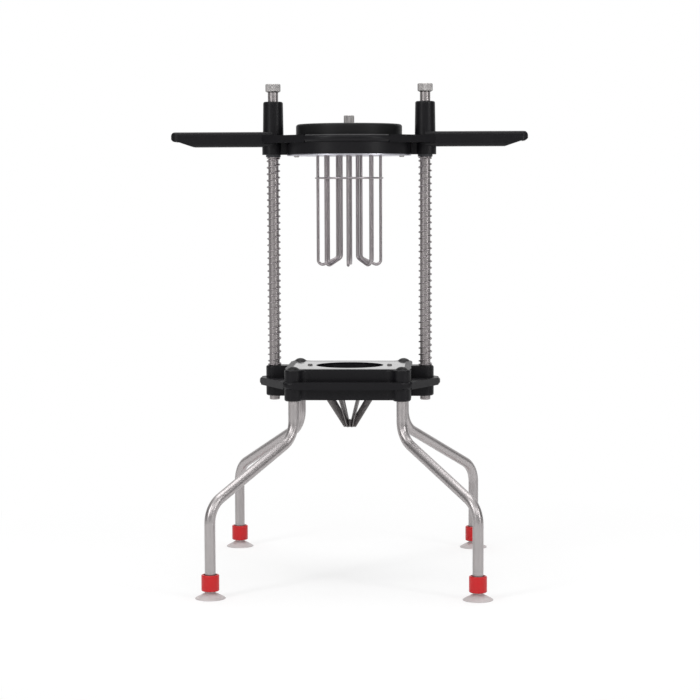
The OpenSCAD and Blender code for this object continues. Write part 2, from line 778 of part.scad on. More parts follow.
// Half section of a suction cup, from its lip up to the stud that plugs into its collar
module cup_section() {
    rim = cup_d / 2;
    neck = cup_neck_d / 2;
    stud_z = collar_z + collar_ledge_h - cup_stud_gap;
    polygon([
        [0, 4.6],
        [0.3 * rim, 4.3],
        [0.6 * rim, 3.1],
        [0.82 * rim, 1.5],
        [rim - 0.8, 0],
        [rim, 0],
        [rim, cup_lip],
        [0.86 * rim, cup_lip + 1.7],
        [0.66 * rim, cup_lip + 4],
        [neck + 0.8, 7.4],
        [neck, 8.4],
        [neck, stud_z - cup_stud_bevel / 3],
        [neck - cup_stud_bevel, stud_z],
        [0, stud_z]
    ]);
}

module suction_cup(c) {
    color([0.72, 0.69, 0.69, 0.9]) at_corner(c, foot_x, foot_y) rotate_extrude() cup_section();
}

// ---------- springs ----------

// Stations along a spring: [angle round the rod, offset along the curl, height, slope of the wire]
function spring_stations() = let (
    foot = spring_end_gap,
    lead = spring_bend_r * cos(spring_slope),
    curl_z = foot + spring_wire_d + lead,
    curl_h = spring_len - 2 * curl_z,
    steps = spring_curls * spring_rings_per_curl,
    back = spring_bend_r * (1 - sin(spring_slope))
) concat(
    [[0, -back, foot, 90]],
    [
        for (i = [0:spring_bend_rings - 1])
            let (a = 90 - (90 - spring_slope) * i / spring_bend_rings)
            [0, spring_bend_r * (1 - sin(a)) - back, foot + spring_wire_d + spring_bend_r * cos(a), a]
    ],
    [for (i = [0:steps]) [360 * i / spring_rings_per_curl, 0, curl_z + curl_h * i / steps, spring_slope]],
    [
        for (i = [1:spring_bend_rings])
            let (a = spring_slope + (90 - spring_slope) * i / spring_bend_rings)
            [
                0,
                spring_bend_r * (sin(a) - sin(spring_slope)),
                spring_len - curl_z + spring_bend_r * (cos(spring_slope) - cos(a)),
                a
            ]
    ],
    [[0, back, spring_len - foot, 90]]
);

function station_centre(s) = [
    spring_r * cos(s[0]) - s[1] * sin(s[0]),
    spring_r * sin(s[0]) + s[1] * cos(s[0]),
    s[2]
];

// Corners of the wire's section at a station
function station_ring(s) = [
    for (j = [0:spring_sides - 1])
        let (
            a = 360 * j / spring_sides,
            out = [cos(s[0]), sin(s[0]), 0],
            along = [-sin(s[0]), cos(s[0]), 0],
            across = along * sin(s[3]) - [0, 0, cos(s[3])]
        )
        station_centre(s) + spring_wire_d / 2 * (out * cos(a) + across * sin(a))
];

module spring(side) {
    color([0.6, 0.59, 0.6]) translate([side * rod_x, 0, deck_z])
        tube_through([for (s = spring_stations()) station_ring(s)], spring_sides);
}

// Least gap of a spring to itself, from the wire's centre at each station to the next curls
spring_gap = let (p = [for (s = spring_stations()) station_centre(s)], turn = spring_rings_per_curl)
    min([for (i = [0:len(p) - 1]) for (j = [i + turn / 2:min(i + 2 * turn, len(p) - 1)]) norm(p[i] - p[j])])
    - spring_wire_d;
echo(spring_gap = spring_gap);

// ---------- head ----------

function head_flange_circles() = [
    [rod_x, 0, head_ear_d / 2],
    [0, 0, head_flange_d / 2],
    [-rod_x, 0, head_ear_d / 2],
    [0, 0, head_flange_d / 2]
];

// Side outline of a handle, from the axis to its tip: [x, z] with z from the handle's middle
module handle_side() {
    tip = handle_span / 2;
    top = handle_t / 2;
    square_end = tip - tip_round_r;
    polygon([
        [rod_x, -top],
        [tip - tip_slope_x, -top],
        [tip, tip_slope_z - top],
        [tip, top - tip_round_r],
        [square_end, top],
        [rod_x, top]
    ]);
    translate([square_end, top - tip_round_r]) circle(tip_round_r);
}

module handle_bar() {
    reach = handle_span / 2;
    r = handle_edge_r;
    intersection() {
        translate([0, handle_w / 2, 0]) rotate([90, 0, 0]) linear_extrude(handle_w) handle_side();
        rotate([90, 0, 90]) linear_extrude(reach) wrap(corner_circles(handle_w, handle_t, r));
        translate([0, 0, -handle_t]) linear_extrude(2 * handle_t)
            wrap(corner_circles(2 * reach, handle_w, handle_w / 3));
    }
}

module sleeve() {
    edge = sleeve_top_d / 2 - sleeve_edge_r;
    rotate_extrude() {
        polygon([
            [0, 0],
            [sleeve_foot_d / 2, 0],
            [sleeve_top_d / 2, sleeve_h - sleeve_edge_r],
            [edge, sleeve_h],
            [0, sleeve_h]
        ]);
        translate([edge, sleeve_h - sleeve_edge_r]) circle(sleeve_edge_r);
    }
}

// Hollow inside the skirt, with the boss, ribs and screw columns left standing in it
module skirt_pockets() {
    boss_r = finger_inner_r - finger_wire_d / 2 - rib_t;
    tall = skirt_h + 3 * cut;
    difference() {
        translate([0, 0, -cut]) cylinder(d = skirt_d - 2 * head_wall, h = skirt_h + cut);
        translate([0, 0, -2 * cut]) cylinder(r = boss_r, h = tall);
        for (s = SIDES) translate([s[1] * pusher_screw_x, 0, -2 * cut])
            cylinder(d = pusher_column_d, h = tall);
        for (k = [1:sections / 2]) rotate([0, 0, blade_angle(k)])
            translate([-skirt_d / 2, -rib_t / 2, -2 * cut]) cube([skirt_d, rib_t, tall]);
    }
}

module head_frame() {
    under_h = head_mid_z - head_z;
    color([0.07, 0.07, 0.08]) difference() {
        union() {
            translate([0, 0, head_flange_z])
                soft_plate(head_flange_circles(), head_flange_t, head_flange_t * rim_share);
            translate([0, 0, head_z]) cylinder(d = skirt_d, h = under_h);
            for (side = [-1, 1]) {
                translate([side * rod_x, 0, head_z]) cylinder(d = head_boss_d, h = under_h);
                translate([side * rod_x, 0, head_top_z]) sleeve();
                translate([side > 0 ? 0 : -rod_x, -head_boss_d / 3, head_z])
                    cube([rod_x, 2 * head_boss_d / 3, under_h]);
            }
            translate([0, 0, head_mid_z]) {
                handle_bar();
                mirror([1, 0, 0]) handle_bar();
            }
        }
        translate([0, 0, head_z]) skirt_pockets();
        translate([0, 0, head_z - cut]) cylinder(r = stud_bore_r, h = skirt_h + head_flange_t + 2 * cut);
        for (side = [-1, 1]) {
            translate([side * rod_x, 0, head_z - cut])
                cylinder(r = head_bore_r, h = sleeve_top_z - head_z + 2 * cut);
            translate([side * pusher_screw_x, 0, head_z - cut])
                cylinder(d = pusher_screw_d + seat_clear, h = pusher_screw_len + cut);
        }
    }
}

module top_cap() {
    color([0.06, 0.06, 0.07]) translate([0, 0, head_top_z]) difference() {
        rotate_extrude() {
            square([cap_d / 2, cap_h - cap_edge_r]);
            square([cap_d / 2 - cap_edge_r, cap_h]);
            profile_round(cap_d / 2, cap_h - cap_edge_r, cap_edge_r);
        }
        difference() {
            translate([0, 0, -cut]) cylinder(d = cap_d - 2 * cap_wall, h = cap_h - cap_wall + cut);
            translate([0, 0, -2 * cut]) cylinder(d = washer_d + 4, h = cap_h + cut);
        }
        translate([0, 0, -cut]) cylinder(r = stud_bore_r, h = cap_h + 2 * cut);
    }
}

module clamp_washer() {
    color([0.75, 0.75, 0.77]) translate([0, 0, cap_top_z]) difference() {
        cylinder(d = washer_d, h = washer_t);
        translate([0, 0, -cut]) cylinder(r = stud_bore_r, h = washer_t + 2 * cut);
    }
}

module clamp_knob() {
    color([0.8, 0.8, 0.8]) translate([0, 0, knob_z]) difference() {
        knurled_head(knob_d, knob_h);
        translate([0, 0, -cut]) cylinder(r = stud_d / 2 + run_clear, h = stud_grip + 1 + cut);
    }
}

module pusher_stud() {
    color([0.7, 0.7, 0.72]) translate([0, 0, pusher_z])
        cylinder(d = stud_d, h = knob_z + stud_grip - pusher_z);
}

// ---------- pusher ----------

function finger_angle(k) = 360 * (k - 1) / sections;

module pusher_plate() {
    color([0.8, 0.8, 0.83]) translate([0, 0, pusher_z]) difference() {
        cylinder(d = pusher_d, h = pusher_t);
        translate([0, 0, -cut]) cylinder(r = stud_d / 2 + seat_clear / 2, h = pusher_t + 2 * cut);
        for (k = [1:sections]) rotate([0, 0, finger_angle(k)]) for (r = [finger_inner_r, finger_outer_r])
            translate([r, 0, -cut]) cylinder(r = finger_wire_d / 2 + seat_clear / 2, h = pusher_t + 2 * cut);
        for (side = [-1, 1]) translate([side * pusher_screw_x, 0, -cut])
            cylinder(r = pusher_screw_d / 2 + screw_clear, h = pusher_t + 2 * cut);
    }
}

module pusher_screws() {
    color([0.7, 0.7, 0.72]) for (side = [-1, 1]) translate([side * pusher_screw_x, 0, pusher_z]) {
        difference() {
            translate([0, 0, -pusher_screw_head_h])
                cylinder(d1 = 0.7 * pusher_screw_head_d, d2 = pusher_screw_head_d, h = pusher_screw_head_h);
            translate([0, 0, -pusher_screw_head_h - cut])
                hex_recess(screw_drive, pusher_screw_head_h / 2 + cut);
        }
        cylinder(d = pusher_screw_d, h = pusher_t + pusher_screw_len - 1);
    }
}

module finger(k) {
    corners = [
        [finger_outer_r, finger_top_z],
        [finger_outer_r, finger_corner_z],
        [finger_inner_r, finger_corner_z + finger_rise],
        [finger_inner_r, finger_top_z]
    ];
    color([0.62, 0.61, 0.62]) rotate([0, 0, finger_angle(k)])
        bent_bar(corners, finger_bend_r, finger_wire_d);
}

module finger_ring() {
    color([0.65, 0.64, 0.65]) translate([0, 0, pusher_z - finger_ring_drop])
        rotate_extrude() translate([finger_ring_r, 0]) circle(d = finger_ring_wire_d);
}

// ---------- bushings ----------

module lower_bushing(side) {
    color([0.45, 0.45, 0.47]) translate([side * rod_x, 0, head_z]) difference() {
        union() {
            translate([0, 0, -bushing_flange_t]) cylinder(d = bushing_flange_d, h = bushing_flange_t);
            cylinder(r = bushing_r, h = bushing_len);
        }
        translate([0, 0, -bushing_flange_t - cut])
            cylinder(r = bushing_bore_r, h = bushing_len + bushing_flange_t + 2 * cut);
    }
}

module upper_bushing(side) {
    foot_z = sleeve_top_z - bushing_len - bushing_inset;
    color([0.45, 0.45, 0.47]) translate([side * rod_x, 0, foot_z]) difference() {
        cylinder(r = bushing_r, h = bushing_len);
        translate([0, 0, -cut]) cylinder(r = bushing_bore_r, h = bushing_len + 2 * cut);
    }
}

// ---------- assembly ----------

base_housing();
blade_plate();
blade_ring();
blade_hub();
plate_screws();
rod_grub_screws();
leg_inserts();
leg_screws();
head_frame();
top_cap();
clamp_washer();
clamp_knob();
pusher_plate();
pusher_stud();
pusher_screws();
finger_ring();
for (k = [1:sections]) {
    blade(k);
    finger(k);
}
for (s = SIDES) {
    guide_rod(s[1]);
    rod_stop(s[1]);
    spring(s[1]);
    lower_bushing(s[1]);
    upper_bushing(s[1]);
}
for (c = CORNERS) {
    leg(c);
    leg_cap(c);
    foot_collar(c);
    suction_cup(c);
}
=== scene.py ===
"""Finishes, springs, suction cups, studio and camera for a hand press with a cone of blades."""

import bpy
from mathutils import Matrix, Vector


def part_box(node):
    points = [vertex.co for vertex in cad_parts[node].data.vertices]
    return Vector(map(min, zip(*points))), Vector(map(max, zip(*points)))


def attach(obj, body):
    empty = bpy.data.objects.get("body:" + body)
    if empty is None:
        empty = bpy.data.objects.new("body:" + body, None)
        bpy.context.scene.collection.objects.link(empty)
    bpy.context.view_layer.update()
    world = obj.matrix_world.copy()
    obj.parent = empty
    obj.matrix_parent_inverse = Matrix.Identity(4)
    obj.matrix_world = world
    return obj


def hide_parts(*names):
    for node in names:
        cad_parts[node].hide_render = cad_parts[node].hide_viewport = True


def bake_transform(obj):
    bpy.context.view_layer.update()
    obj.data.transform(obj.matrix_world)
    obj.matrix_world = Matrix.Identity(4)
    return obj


bl_info = {
    "name": "Wedge press",
    "version": (1, 0, 0),
    "blender": (4, 5, 0),
    "location": "3D Viewport > Sidebar > Press",
    "description": "Dresses the packed wedge press: plastics, steels, rubber, springs, studio and camera",
    "category": "Object",
}

import math

import bpy
from bpy.props import FloatProperty, FloatVectorProperty, IntProperty, PointerProperty
from mathutils import Matrix, Vector

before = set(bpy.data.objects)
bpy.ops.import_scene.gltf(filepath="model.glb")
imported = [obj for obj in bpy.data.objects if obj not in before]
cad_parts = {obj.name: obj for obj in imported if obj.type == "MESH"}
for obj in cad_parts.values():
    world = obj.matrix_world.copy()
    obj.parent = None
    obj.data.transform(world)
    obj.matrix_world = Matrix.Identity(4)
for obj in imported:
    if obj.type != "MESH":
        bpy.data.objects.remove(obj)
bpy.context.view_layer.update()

MM = 0.001
SIDES = ("left", "right")
CORNERS = ("front_left", "front_right", "rear_left", "rear_right")
WEDGES = 8


# ---------- sizes and colours that a user would change ----------


def colour(name, description, default):
    return FloatVectorProperty(
        name=name, description=description, default=default, subtype="COLOR", size=3, min=0, max=1
    )


def length(name, description, default, low=0.0, high=5.0):
    return FloatProperty(
        name=name, description=description, default=default, min=low, max=high, unit="LENGTH", precision=5
    )


def angle(name, description, default):
    return FloatProperty(name=name, description=description, default=default, subtype="ANGLE")


class PressSizes(bpy.types.PropertyGroup):
    """Sizes of the pieces that are made here"""

    wire: length("Spring wire", "Diameter of a spring's wire", 1.6 * MM, 0.5 * MM, 3 * MM)
    curls: IntProperty(
        name="Spring curls", description="Number of curls in a spring", default=34, min=4, max=60
    )
    lip: length("Cup lip", "Thickness of a suction cup's lip", 0.9 * MM, 0.3 * MM, 3 * MM)
    neck: length("Cup neck", "Diameter of a suction cup's neck", 13 * MM, 6 * MM, 20 * MM)
    # Height of the thin black ring under each rod stop's head: painted shadow for the shadow line under the
    # head
    buffer: length("Stop buffer", "Height of the rubber ring under a rod stop", 0.45 * MM, 0.1 * MM, 2 * MM)
    weld: length("Weld bead", "Radius of the weld between a finger and its ring", 1.5 * MM, 0.5 * MM, 3 * MM)


class PressColours(bpy.types.PropertyGroup):
    """Colours of the press"""

    moulding: colour("Mouldings", "Black plastic of the housing and the head", (0.0034, 0.0031, 0.0043))
    cap: colour("Caps", "Black plastic of the top cap and the leg caps", (0.0050, 0.0050, 0.0056))
    deck: colour("Deck", "Smooth black plastic of the deck's plate", (0.0060, 0.0055, 0.0080))
    collar: colour("Foot collars", "Red plastic of the foot collars", (0.50, 0.008, 0.011))
    cup: colour("Suction cups", "Rubber of the suction cups", (0.50, 0.46, 0.46))
    leg: colour("Legs", "Polished tube of the legs", (0.44, 0.415, 0.415))
    rod: colour("Guide rods", "Ground steel of the guide rods", (0.36, 0.335, 0.335))
    wire: colour("Wires", "Drawn wire of the fingers and springs", (0.36, 0.33, 0.34))
    plate: colour("Pusher plate", "Satin steel of the pusher's plate", (0.70, 0.69, 0.76))
    blade: colour("Blades", "Ground steel of the blades", (0.27, 0.255, 0.255))
    fastener: colour("Fasteners", "Knurled heads, screws and washers", (0.46, 0.445, 0.44))
    bushing: colour("Bushings", "Grey plastic of the bushings", (0.05, 0.05, 0.055))


class PressStudio(bpy.types.PropertyGroup):
    """Camera and light"""

    distance: length("Distance", "Camera's distance from the press", 2.7435, 0.5, 10)
    height: length("Height", "Camera's height above the table", 0.5209, 0, 5)
    aside: length("Aside", "Camera's offset from the axis of the press", 0.0003, -1, 1)
    yaw: angle("Yaw", "Turn of the camera round the press", -0.0452)
    pitch: angle("Pitch", "Tilt of the camera below level", 0.0789)
    roll: angle("Roll", "Roll of the camera", -0.0034)
    lens: FloatProperty(
        name="Lens", description="Focal length in millimetres", default=104.1, min=20, max=300
    )
    ambient: FloatProperty(
        name="Ambient", description="Light from all round", default=0.55, min=0, max=2
    )


# ---------- shader maths ----------


class Term:
    """A socket that takes part in Python arithmetic: each operation adds its Math node"""

    def __init__(self, finish, socket):
        self.finish = finish
        self.socket = socket

    def math(self, operation, first, second):
        return self.finish.node("ShaderNodeMath", {"operation": operation}, {0: first, 1: second})

    def __add__(self, other):
        return self.math("ADD", self, other)

    def __sub__(self, other):
        return self.math("SUBTRACT", self, other)

    def __rsub__(self, other):
        return self.math("SUBTRACT", other, self)

    def __mul__(self, other):
        return self.math("MULTIPLY", self, other)

    __radd__ = __add__
    __rmul__ = __mul__

    def above(self, low, high):
        """0 below low, 1 above high and an even slope between them"""
        inputs = {"Value": self, "From Min": low, "From Max": high}
        return self.finish.node("ShaderNodeMapRange", {}, inputs)


class Finish:
    """A material or world that is built node by node"""

    def __init__(self, owner):
        owner.use_nodes = True
        self.owner = owner
        self.tree = owner.node_tree
        self.tree.nodes.clear()

    def node(self, kind, settings=None, inputs=None, output=0):
        """Adds one node: its settings first, then the values or links of its sockets"""
        node = self.tree.nodes.new(kind)
        for key, value in (settings or {}).items():
            setattr(node, key, value)
        for key, value in (inputs or {}).items():
            if isinstance(value, Term):
                self.tree.links.new(value.socket, node.inputs[key])
            else:
                node.inputs[key].default_value = value
        return Term(self, node.outputs[output])

    def place(self, stretch=(1, 1, 1)):
        """The piece's own coordinates in metres, stretched"""
        here = self.node("ShaderNodeTexCoord", output="Object")
        return self.node("ShaderNodeMapping", {}, {"Vector": here, "Scale": stretch})

    def noise(self, scale, detail=3.0, rough=0.5, stretch=(1, 1, 1)):
        """Cloudy pattern from 0 to 1, with scale in patches per metre"""
        inputs = {"Vector": self.place(stretch), "Scale": scale, "Detail": detail, "Roughness": rough}
        return self.node("ShaderNodeTexNoise", {}, inputs)

    def mix(self, factor, first, second):
        """Blends two colours"""
        inputs = {0: factor, 6: rgba(first), 7: rgba(second)}
        return self.node("ShaderNodeMix", {"data_type": "RGBA"}, inputs, output=2)

    def bump(self, height, strength, distance):
        inputs = {"Height": height, "Strength": strength, "Distance": distance}
        return self.node("ShaderNodeBump", {}, inputs)

    def principled(self, **sockets):
        names = {key.replace("_", " "): value for key, value in sockets.items()}
        shader = self.node("ShaderNodeBsdfPrincipled", {}, names)
        self.node_output(shader)
        return self.owner

    def node_output(self, shader):
        is_world = isinstance(self.owner, bpy.types.World)
        kind = "ShaderNodeOutputWorld" if is_world else "ShaderNodeOutputMaterial"
        tree_node = self.tree.nodes.new(kind)
        self.tree.links.new(shader.socket, tree_node.inputs["Surface"])


def rgba(value):
    return value if isinstance(value, Term) else (*value, 1.0)


def shade(value, factor):
    """A colour made lighter or darker, within 0 to 1"""
    return tuple(min(1.0, max(0.0, channel * factor)) for channel in value)


def new_material(name):
    return Finish(bpy.data.materials.new(name))


# ---------- finishes ----------


def moulded_plastic(name, base, roughness, specular=0.22):
    """Moulded plastic or rubber: fine spark grain, flow marks and a trace of dust on faces that look up"""
    f = new_material(name)
    flow = f.noise(14, 2.0)
    grain = f.noise(2600, 2.0, 0.6)
    scuff = f.noise(160, 5.0, 0.65, (1, 1, 0.35))
    up = f.node("ShaderNodeSeparateXYZ", {}, {0: f.node("ShaderNodeNewGeometry", output="Normal")}, output=2)
    dust = up.above(0.75, 1.0) * scuff.above(0.35, 0.75)
    colour_now = f.mix(flow, shade(base, 0.8), shade(base, 1.3))
    colour_now = f.mix(dust * 0.35, colour_now, shade(base, 3.2))
    return f.principled(
        Base_Color=colour_now,
        Roughness=roughness + flow * 0.06 + scuff.above(0.5, 0.8) * 0.08 + dust * 0.08,
        Specular_IOR_Level=specular,
        Normal=f.bump(grain * 0.6 + scuff * 0.4, 0.16, 0.12 * MM),
    )


def drawn_steel(name, base, roughness, along=(1, 1, 0.02), tone=0.12, bump=0.1):
    """Steel with fine draw lines along one direction, faint stains and a few deeper scratches"""
    f = new_material(name)
    lines = f.noise(1500, 2.0, 0.6, along)
    cloud = f.noise(26, 3.0)
    scratch = f.noise(700, 1.0, 0.4, along).above(0.64, 0.76)
    colour_now = f.mix(lines, shade(base, 1 - tone), shade(base, 1 + tone))
    colour_now = f.mix(cloud.above(0.45, 0.8) * 0.5, colour_now, shade(base, 0.82))
    return f.principled(
        Base_Color=colour_now,
        Metallic=1.0,
        Roughness=roughness + lines * 0.08 + cloud * 0.05 + scratch * 0.1,
        Normal=f.bump(lines - scratch * 0.7, bump, 0.05 * MM),
    )


def satin_plate(name, base, roughness):
    """Light satin plate: short brushed lines, wiped cloudy patches and hairline scratches"""
    f = new_material(name)
    brushed = f.noise(2400, 2.0, 0.6, (0.03, 1, 1))
    cloud = f.noise(18, 4.0, 0.6)
    hair = f.noise(700, 1.0, 0.4, (0.1, 1.4, 1)).above(0.68, 0.71)
    colour_now = f.mix(brushed, shade(base, 0.93), shade(base, 1.04))
    colour_now = f.mix(cloud.above(0.5, 0.8) * 0.4, colour_now, shade(base, 0.88))
    return f.principled(
        Base_Color=colour_now,
        Metallic=1.0,
        Roughness=roughness + cloud * 0.1 + brushed * 0.06,
        Normal=f.bump(brushed - hair * 0.6, 0.08, 0.05 * MM),
    )


def glossy_plastic(name, base):
    """Coloured glossy plastic with slight depth changes and fine scuffs"""
    f = new_material(name)
    cloud = f.noise(60, 3.0)
    scuff = f.noise(500, 4.0, 0.6, (1, 1, 0.3)).above(0.55, 0.8)
    colour_now = f.mix(cloud, shade(base, 0.86), shade(base, 1.06))
    colour_now = f.mix(scuff * 0.18, colour_now, shade(base, 1.3))
    return f.principled(
        Base_Color=colour_now,
        Roughness=0.3 + cloud * 0.06 + scuff * 0.18,
        Specular_IOR_Level=0.3,
        Coat_Weight=scuff * -0.05 + 0.08,
        Coat_Roughness=0.18,
        Normal=f.bump(cloud + scuff * 0.3, 0.06, 0.2 * MM),
    )


def cup_rubber(name, base):
    """Translucent grey rubber: milky depth changes, a soft bloom and dust near the table"""
    f = new_material(name)
    milk = f.noise(90, 3.0)
    bloom = f.noise(420, 4.0, 0.6)
    height = f.node("ShaderNodeSeparateXYZ", {}, {0: f.place()}, output=2)
    dust = (1 - height.above(0.0, 4 * MM)) * bloom
    colour_now = f.mix(milk, shade(base, 0.9), shade(base, 1.08))
    colour_now = f.mix(dust * 0.4, colour_now, shade(base, 0.7))
    return f.principled(
        Base_Color=colour_now,
        Roughness=0.36 + bloom * 0.14,
        Subsurface_Weight=0.25,
        Subsurface_Scale=4 * MM,
        Subsurface_Radius=(1.0, 0.9, 0.9),
        Normal=f.bump(bloom, 0.08, 0.1 * MM),
    )


# ---------- mesh pieces ----------


def new_piece(name, verts, faces, material, body):
    """A smooth-shaded mesh that rides on a body"""
    mesh = bpy.data.meshes.new(name)
    mesh.from_pydata([tuple(v) for v in verts], [], faces)
    mesh.validate()
    mesh.materials.append(material)
    mesh.polygons.foreach_set("use_smooth", [True] * len(mesh.polygons))
    mesh.update()
    piece = bpy.data.objects.new(name, mesh)
    bpy.context.scene.collection.objects.link(piece)
    if body:
        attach(piece, body)
    return piece


def smooth_line(points, steps):
    """Points on a Catmull-Rom line through the given [radius, height] points"""
    out = []
    for i in range(len(points) - 1):
        a, b = points[max(i - 1, 0)], points[i]
        c, d = points[i + 1], points[min(i + 2, len(points) - 1)]
        for k in range(steps):
            t = k / steps
            out.append(
                tuple(
                    0.5
                    * (
                        2 * b[j]
                        + (c[j] - a[j]) * t
                        + (2 * a[j] - 5 * b[j] + 4 * c[j] - d[j]) * t * t
                        + (3 * b[j] - a[j] - 3 * c[j] + d[j]) * t**3
                    )
                    for j in (0, 1)
                )
            )
    return out + [tuple(points[-1])]


def turned(profile, centre, sides, ripple=None, closed=False):
    """Verts and faces of a profile of [radius, height] turned round a vertical line through centre"""
    verts, faces, rings = [], [], []
    for radius, z in profile:
        if radius < 1e-6:
            rings.append([len(verts)])
            verts.append((centre[0], centre[1], z))
            continue
        rings.append(list(range(len(verts), len(verts) + sides)))
        for k in range(sides):
            a = 2 * math.pi * k / sides
            lift = ripple(radius, a) if ripple else 0.0
            verts.append((centre[0] + radius * math.cos(a), centre[1] + radius * math.sin(a), z + lift))
    pairs = list(zip(rings, rings[1:]))
    if closed:
        pairs.append((rings[-1], rings[0]))
    for low, high in pairs:
        for k in range(sides):
            n = (k + 1) % sides
            if len(low) == 1:
                faces.append((low[0], high[n], high[k]))
            elif len(high) == 1:
                faces.append((low[k], low[n], high[0]))
            else:
                faces.append((low[k], low[n], high[n], high[k]))
    return verts, faces


def middle(node):
    low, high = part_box(node)
    return (low + high) / 2


def dress(names, material):
    """Gives CAD nodes a material"""
    for name in names:
        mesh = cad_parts[name].data
        mesh.materials.clear()
        mesh.materials.append(material)


def numbered(stem):
    return [f"{stem}_{k}" for k in range(1, WEDGES + 1)]


def sided(stem):
    return [f"{stem}_{side}" for side in SIDES]


def cornered(stem):
    return [f"{stem}_{corner}" for corner in CORNERS]


class PRESS_OT_mouldings(bpy.types.Operator):
    """Finishes the housing, the head and the black caps"""

    bl_idname = "press.mouldings"
    bl_label = "Black mouldings"

    def execute(self, context):
        colours = context.scene.press_colours
        black = moulded_plastic("moulded_black", colours.moulding, roughness=0.36)
        dress(["base_housing", "head_frame", "blade_ring"], black)
        dress(["top_cap"], moulded_plastic("cap_black", colours.cap, roughness=0.46))
        dress(cornered("leg_cap"), moulded_plastic("leg_cap_black", colours.cap, roughness=0.34))
        return {"FINISHED"}


class PRESS_OT_plates(bpy.types.Operator):
    """Finishes the deck's smooth plate, the pusher's steel plate and the blades"""

    bl_idname = "press.plates"
    bl_label = "Plates and blades"

    def execute(self, context):
        colours = context.scene.press_colours
        deck = moulded_plastic("deck_black", colours.deck, roughness=0.02, specular=0.9)
        blade = drawn_steel("blade_steel", colours.blade, roughness=0.3, along=(1, 1, 0.05))
        dress(["blade_plate"], deck)
        dress(["pusher_plate"], satin_plate("satin_plate", colours.plate, roughness=0.26))
        dress([*numbered("blade"), "blade_hub"], blade)
        return {"FINISHED"}


class PRESS_OT_rods(bpy.types.Operator):
    """Finishes the guide rods and adds a thin black ring under each stop's head, as painted shade for the
    shadow line there
    """

    bl_idname = "press.rods"
    bl_label = "Guide rods"

    def execute(self, context):
        colours = context.scene.press_colours
        height = context.scene.press_sizes.buffer
        clearance = 0.03 * MM
        band = 1.5 * MM
        sink = 0.02 * MM
        dark = shade(colours.fastener, 0.4)
        dress(sided("guide_rod"), drawn_steel("rod_steel", colours.rod, roughness=0.3, bump=0.03))
        dress(["rod_grub_screws"], drawn_steel("grub_steel", dark, roughness=0.3))
        # Painted shadow: a thin black ring under each stop's head stands in for the shadow line there
        rubber = moulded_plastic("shadow_line_black", colours.cap, roughness=0.6)
        for side in SIDES:
            rod = middle(f"guide_rod_{side}")
            low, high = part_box(f"guide_rod_{side}")
            bore = (high.x - low.x) / 2 + clearance
            rim = bore + band
            top = high.z - sink
            foot = top - height
            soft = height * 0.3
            profile = [
                (bore, foot),
                (rim - soft, foot),
                (rim, foot + soft),
                (rim, top - soft),
                (rim - soft, top),
                (bore, top),
            ]
            verts, faces = turned(profile, rod, 48, closed=True)
            new_piece(f"stop_shadow_ring_{side}", verts, faces, rubber, "stand")
        return {"FINISHED"}


class PRESS_OT_fasteners(bpy.types.Operator):
    """Finishes the knurled heads, screws, washer, stud and bushings"""

    bl_idname = "press.fasteners"
    bl_label = "Fasteners"

    def execute(self, context):
        colours = context.scene.press_colours
        plain = shade(colours.fastener, 0.85)
        dark = shade(colours.fastener, 0.4)
        across = (1, 1, 0.3)
        knurled = drawn_steel("knurled_steel", colours.fastener, 0.5, across, tone=0.08, bump=0.02)
        turned_steel = drawn_steel("fastener_steel", plain, 0.3, across, tone=0.08)
        screw = drawn_steel("plate_screw_steel", dark, 0.34, across)
        bushing = moulded_plastic("bushing_grey", colours.bushing, roughness=0.42)
        dress([*sided("rod_stop"), "clamp_knob"], knurled)
        dress(["leg_inserts", "leg_screws", "clamp_washer", "pusher_stud", "pusher_screws"], turned_steel)
        dress(["plate_screws"], screw)
        dress([*sided("lower_bushing"), *sided("upper_bushing")], bushing)
        return {"FINISHED"}


class PRESS_OT_legs(bpy.types.Operator):
    """Finishes the legs"""

    bl_idname = "press.legs"
    bl_label = "Legs"

    def execute(self, context):
        leg = context.scene.press_colours.leg
        dress(cornered("leg"), drawn_steel("leg_steel", leg, 0.3, (1, 1, 0.04), tone=0.06, bump=0.012))
        return {"FINISHED"}


class PRESS_OT_feet(bpy.types.Operator):
    """Finishes the foot collars and makes the suction cups"""

    bl_idname = "press.feet"
    bl_label = "Feet"

    def execute(self, context):
        sizes = context.scene.press_sizes
        colours = context.scene.press_colours
        wave_height = 0.12 * MM
        waves = 3
        dress(cornered("foot_collar"), glossy_plastic("red_plastic", colours.collar))
        rubber = cup_rubber("cup_rubber", colours.cup)
        for turn, corner in enumerate(CORNERS):
            node = f"suction_cup_{corner}"
            low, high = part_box(node)
            rim = (high.x - low.x) / 2
            neck = sizes.neck / 2
            lip = sizes.lip
            outer = smooth_line(
                [
                    (rim, low.z + lip * 0.8),
                    (0.93 * rim, lip + 0.8 * MM),
                    (0.80 * rim, lip + 2.2 * MM),
                    (0.62 * rim, lip + 4.1 * MM),
                    (0.46 * rim, 6.6 * MM),
                    (neck + 0.5 * MM, 7.7 * MM),
                    (neck + 0.1 * MM, 8.6 * MM),
                    (neck - 0.02 * MM, 9.8 * MM),
                ],
                5,
            )
            stud = [(neck - 0.02 * MM, 13.4 * MM), (neck - 0.5 * MM, high.z), (0.0, high.z)]
            inner = smooth_line(
                [
                    (0.0, 4.6 * MM),
                    (0.3 * rim, 4.2 * MM),
                    (0.6 * rim, 2.9 * MM),
                    (0.82 * rim, 1.3 * MM),
                    (0.945 * rim, 0.12 * MM),
                    (0.97 * rim, low.z),
                    (0.995 * rim, low.z + 0.1 * MM),
                ],
                5,
            )

            def ripple(radius, angle, turn=turn, rim=rim):
                edge = max(0.0, radius / rim - 0.8) * max(0.0, 1 - radius / rim) * 40
                return wave_height * edge * math.sin(waves * angle + turn)

            verts, faces = turned(inner + outer + stud, middle(node), 72, ripple)
            verts = [(x, y, max(z, low.z)) for x, y, z in verts]
            cup = new_piece(f"rubber_cup_{corner}", verts, faces, rubber, "stand")
            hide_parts(node)
        return {"FINISHED"}


